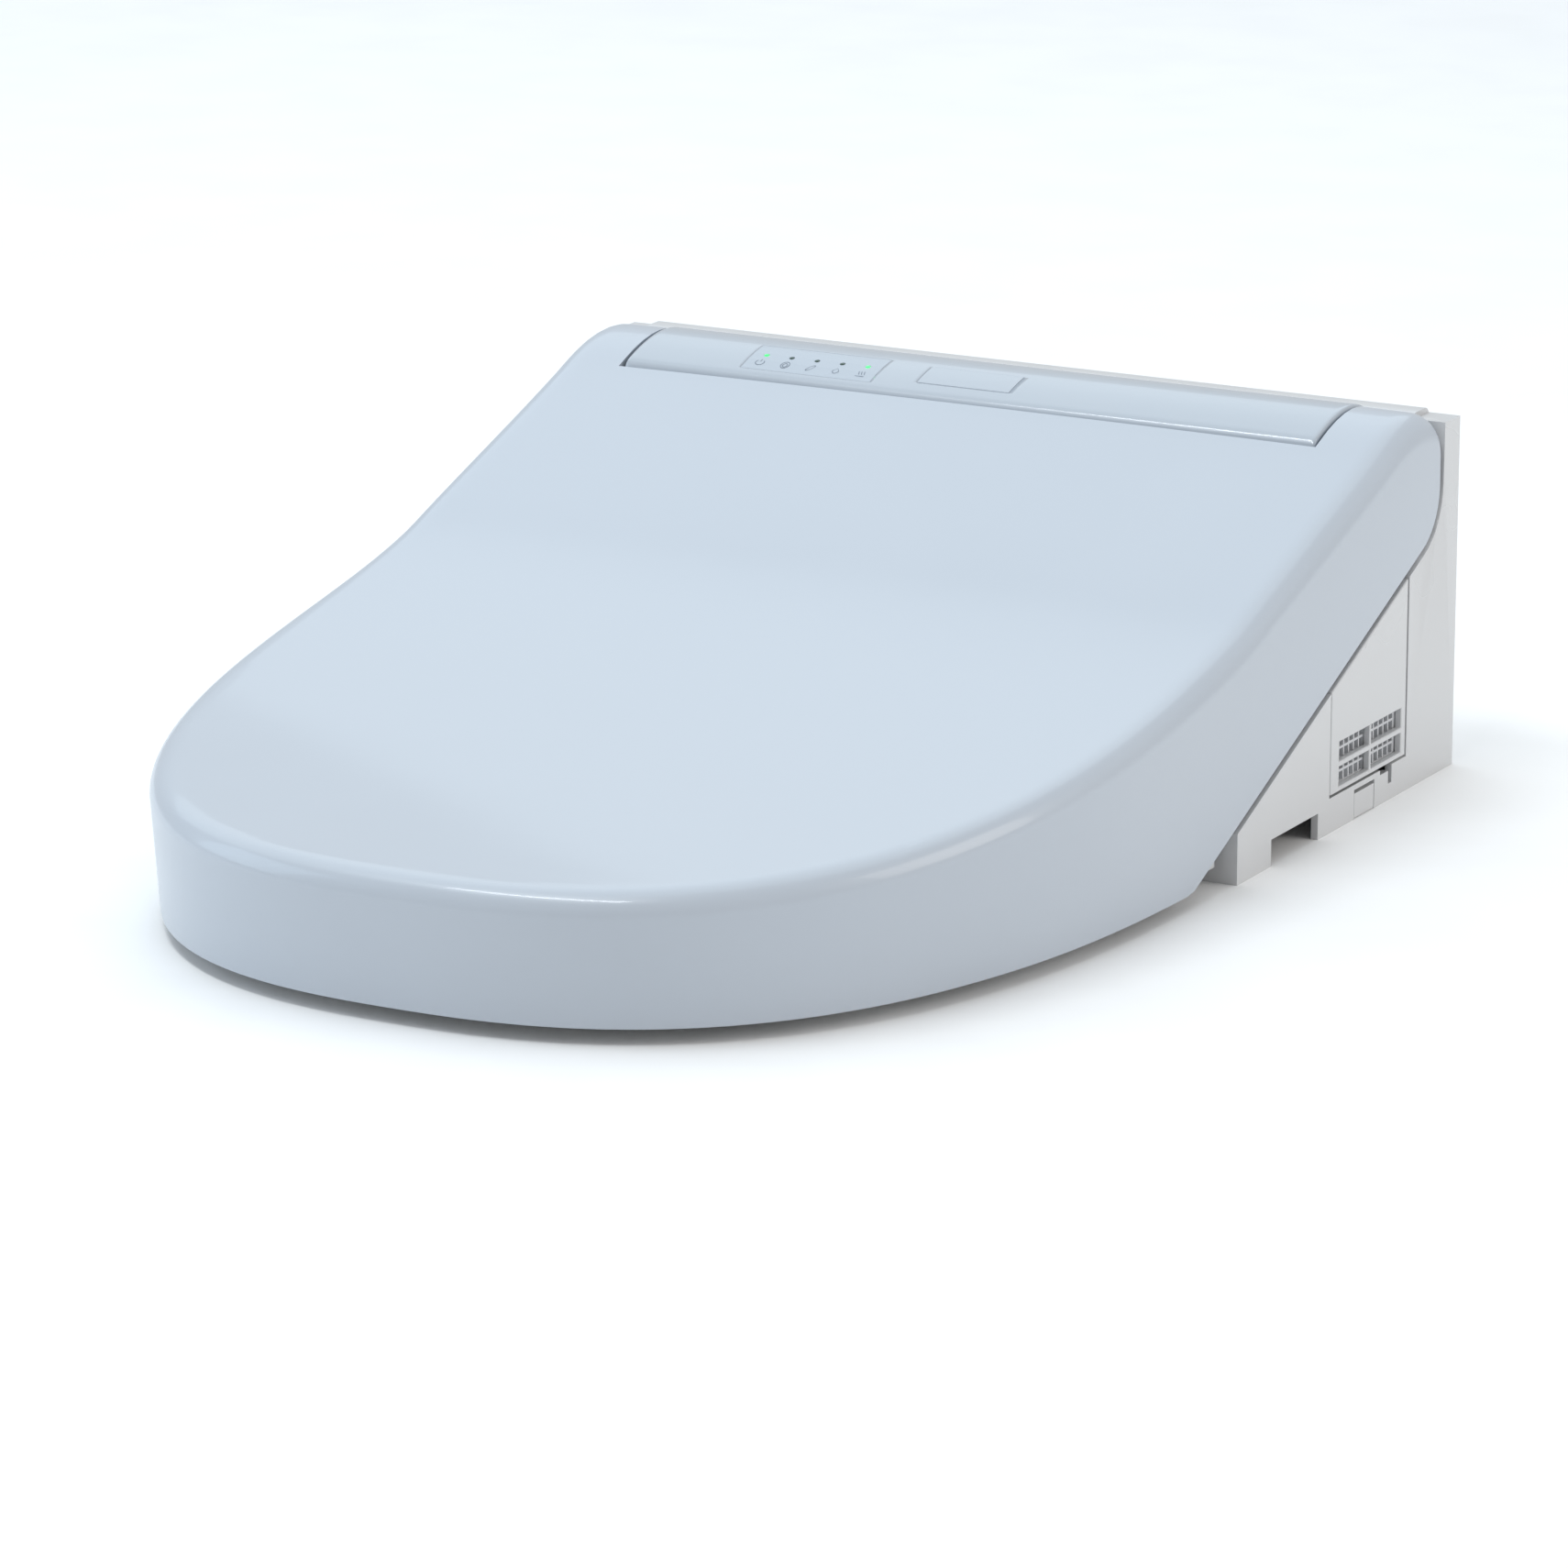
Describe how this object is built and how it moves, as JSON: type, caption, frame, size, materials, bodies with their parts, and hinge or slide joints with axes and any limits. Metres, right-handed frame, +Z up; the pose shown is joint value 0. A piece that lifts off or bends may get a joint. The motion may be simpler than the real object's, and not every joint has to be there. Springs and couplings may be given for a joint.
{
  "type": "electric bidet seat",
  "caption": "Electric bidet seat with a soft-close lid and heated seat on a rear unit with a sliding wash wand, warm-air dryer and deodorizer.",
  "frame": {"origin": "midway between the two bowl bolts, on the plane of the bowl's top face", "axes": "+X to the right side, +Z up, front towards -Y"},
  "size_m": [0.39, 0.528, 0.1552],
  "materials": {
    "lid_plastic": "gloss",
    "seat_plastic": "gloss",
    "case_plastic": "satin gloss",
    "panel_plastic": "gloss",
    "window_plastic": "satin",
    "lamp_green": "lit",
    "inner_plastic": "matte",
    "dark_plastic": "matte",
    "rubber": "matte",
    "steel": "brushed",
    "copper": "satin",
    "board": "satin"
  },
  "bodies": {
    "plate": {"mounting_plate": "inner_plastic", "bolt_adjusters": "steel", "plate_pads": "rubber"},
    "unit": {"housing": "case_plastic", "lower_case": "inner_plastic", "display_panel": "panel_plastic", "indicator_window": "window_plastic", "indicator_lamps": "lamp_green", "blank_badge": "panel_plastic", "rear_cover": "case_plastic", "case_screws": "steel", "body_feet": "rubber", "hinge_pins": "steel", "lid_damper": "dark_plastic", "seat_damper": "dark_plastic", "control_board": "board", "power_supply": "dark_plastic", "heater_tank": "inner_plastic", "tank_element": "copper", "water_inlet": "steel", "inlet_strainer": "inner_plastic", "solenoid_valve": "dark_plastic", "water_pump": "dark_plastic", "water_pipes": "inner_plastic", "diverter_body": "inner_plastic", "wand_guide": "inner_plastic", "wand_motor": "dark_plastic", "dryer_housing": "inner_plastic", "dryer_motor": "dark_plastic", "dryer_duct": "inner_plastic", "dryer_heater": "copper", "deodorizer_housing": "inner_plastic", "deodorizer_motor": "dark_plastic", "button_spring": "steel", "power_gland": "rubber"},
    "seat": {"seat_top": "seat_plastic", "seat_bottom": "inner_plastic", "seat_heater": "copper", "seat_buffers": "rubber"},
    "lid": {"lid": "lid_plastic", "lid_buffers": "rubber"},
    "wand": {"wand_tube": "steel", "wand_tip": "inner_plastic"},
    "pinion": {"drive_pinion": "inner_plastic"},
    "flap": {"dryer_flap": "inner_plastic"},
    "dryer_fan": {"dryer_impeller": "inner_plastic"},
    "deodorizer_fan": {"deodorizer_impeller": "inner_plastic"},
    "diverter": {"diverter_rotor": "dark_plastic"},
    "button": {"detach_button": "case_plastic"},
    "filter": {"filter_cover": "case_plastic", "deodorizer_filter": "dark_plastic"}
  },
  "joints": [
    {"name": "unit_slide", "type": "slide", "parent": "plate", "child": "unit", "axis": [0, -1, 0], "range_m": [0, 0.05]},
    {"name": "seat_hinge", "type": "hinge", "parent": "unit", "child": "seat", "pos_m": [0, 0.018, 0.14], "axis": [1, 0, 0], "range_deg": [-100, 0]},
    {"name": "lid_hinge", "type": "hinge", "parent": "seat", "child": "lid", "pos_m": [0, 0.018, 0.14], "axis": [-1, 0, 0], "range_deg": [0, 105]},
    {"name": "wand_slide", "type": "slide", "parent": "unit", "child": "wand", "axis": [0, -0.866, -0.5], "range_m": [0, 0.1]},
    {"name": "pinion_spin", "type": "hinge", "parent": "unit", "child": "pinion", "pos_m": [0, -0.06282, 0.05685], "axis": [1, 0, 0], "range_deg": [-640, 0]},
    {"name": "flap_hinge", "type": "hinge", "parent": "unit", "child": "flap", "pos_m": [-0.064, -0.0941, 0.0255], "axis": [-1, 0, 0], "range_deg": [0, 70]},
    {"name": "dryer_fan_spin", "type": "hinge", "parent": "unit", "child": "dryer_fan", "pos_m": [-0.11, -0.038, 0.062], "axis": [1, 0, 0], "continuous": true},
    {"name": "deodorizer_fan_spin", "type": "hinge", "parent": "unit", "child": "deodorizer_fan", "pos_m": [0.14, -0.026, 0.046], "axis": [1, 0, 0], "continuous": true},
    {"name": "diverter_turn", "type": "hinge", "parent": "unit", "child": "diverter", "pos_m": [-0.037, -0.02, 0.071], "axis": [0, 1, 0], "continuous": true},
    {"name": "button_press", "type": "slide", "parent": "unit", "child": "button", "axis": [-1, 0, 0], "range_m": [0, 0.004], "stiffness_N_per_m": 600},
    {"name": "filter_pull", "type": "slide", "parent": "unit", "child": "filter", "axis": [1, 0, 0], "range_m": [0, 0.04]}
  ],
  "couplings": [
    {"joint": "pinion_spin", "follows": "wand_slide", "rad_per_m": -111.11}
  ]
}
